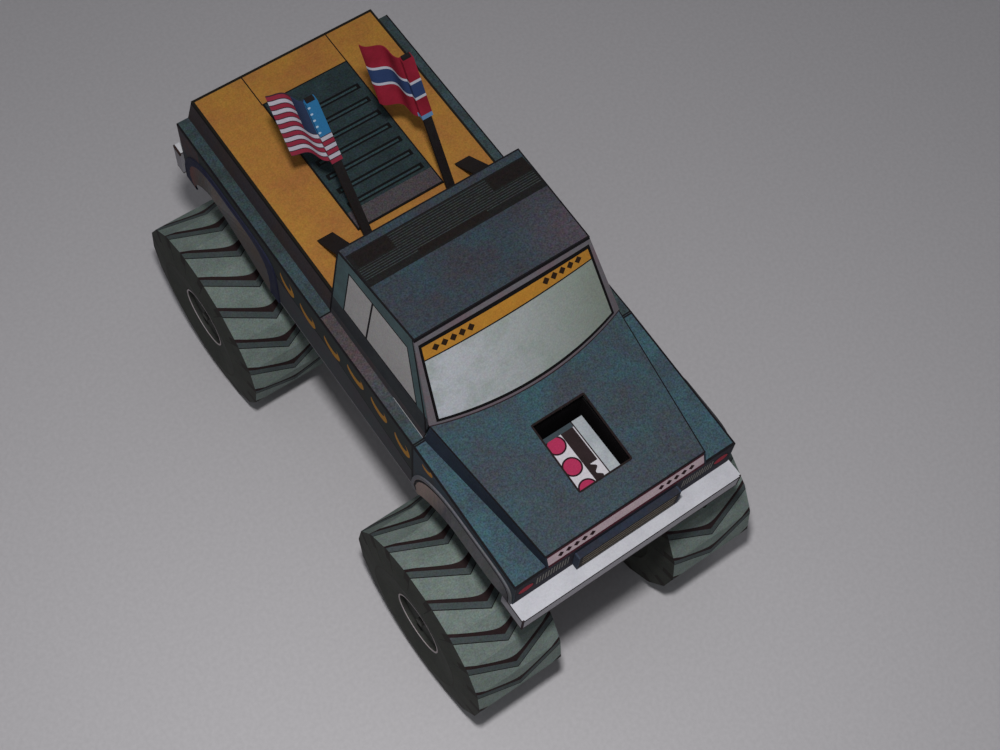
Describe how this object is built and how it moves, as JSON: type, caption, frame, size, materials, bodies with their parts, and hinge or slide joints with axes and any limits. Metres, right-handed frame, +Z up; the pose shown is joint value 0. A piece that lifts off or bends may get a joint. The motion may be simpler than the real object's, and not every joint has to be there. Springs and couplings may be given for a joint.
{
  "type": "card model of a monster truck",
  "caption": "Folded printed-card model of a monster pickup truck with tall free-rolling drum wheels, a flat bed cover and a pair of flags behind the cab.",
  "frame": {"origin": "on the ground under the middle of the model, midway between the front and rear wheels", "axes": "+X towards the truck's left side, -Y ahead of its nose, +Z up"},
  "size_m": [0.085, 0.1542, 0.1188],
  "materials": {
    "print_teal": "satin",
    "print_ochre": "satin",
    "print_grey": "satin",
    "print_pale": "satin",
    "print_dark": "satin",
    "print_red": "satin",
    "tyre_print": "satin",
    "white_card": "matt",
    "grey_card": "matt"
  },
  "bodies": {
    "truck": {"side_panel_right": "print_teal", "side_panel_left": "print_teal", "front_panel": "print_grey", "tail_panel": "print_teal", "shoulder_strips": "print_teal", "fender_tops": "print_teal", "hood_panel": "print_teal", "hood_walls": "print_dark", "hood_lip": "print_pale", "engine_box": "print_dark", "engine_bay": "print_dark", "cab_side_right": "print_grey", "cab_side_left": "print_grey", "cab_rear_wall": "print_dark", "roof_panel": "print_teal", "windshield": "print_pale", "bed_cover": "print_ochre", "bed_walls": "print_dark", "bed_rear_wall": "print_dark", "louvre_panel": "print_teal", "braces": "print_teal", "flag_poles": "print_dark", "flag_right": "print_red", "flag_left": "print_red", "grille_box": "print_grey", "front_bumper": "print_grey", "rear_bumper": "print_grey", "arch_flares_front": "print_grey", "arch_flares_rear": "print_grey", "floor_panel": "grey_card", "frame_box": "grey_card", "axle_mounts": "grey_card", "axle_boxes": "grey_card", "axle_rod_front": "white_card", "axle_rod_rear": "white_card"},
    "wheel_front_right": {"tyre_front_right": "tyre_print", "hub_front_right": "white_card"},
    "wheel_front_left": {"tyre_front_left": "tyre_print", "hub_front_left": "white_card"},
    "wheel_rear_right": {"tyre_rear_right": "tyre_print", "hub_rear_right": "white_card"},
    "wheel_rear_left": {"tyre_rear_left": "tyre_print", "hub_rear_left": "white_card"}
  },
  "joints": [
    {"name": "roll_front_right", "type": "hinge", "parent": "truck", "child": "wheel_front_right", "pos_m": [-0.0293, -0.0507, 0.026], "axis": [1, 0, 0], "continuous": true},
    {"name": "roll_front_left", "type": "hinge", "parent": "truck", "child": "wheel_front_left", "pos_m": [0.0293, -0.0507, 0.026], "axis": [1, 0, 0], "continuous": true},
    {"name": "roll_rear_right", "type": "hinge", "parent": "truck", "child": "wheel_rear_right", "pos_m": [-0.0293, 0.0507, 0.026], "axis": [1, 0, 0], "continuous": true},
    {"name": "roll_rear_left", "type": "hinge", "parent": "truck", "child": "wheel_rear_left", "pos_m": [0.0293, 0.0507, 0.026], "axis": [1, 0, 0], "continuous": true}
  ]
}
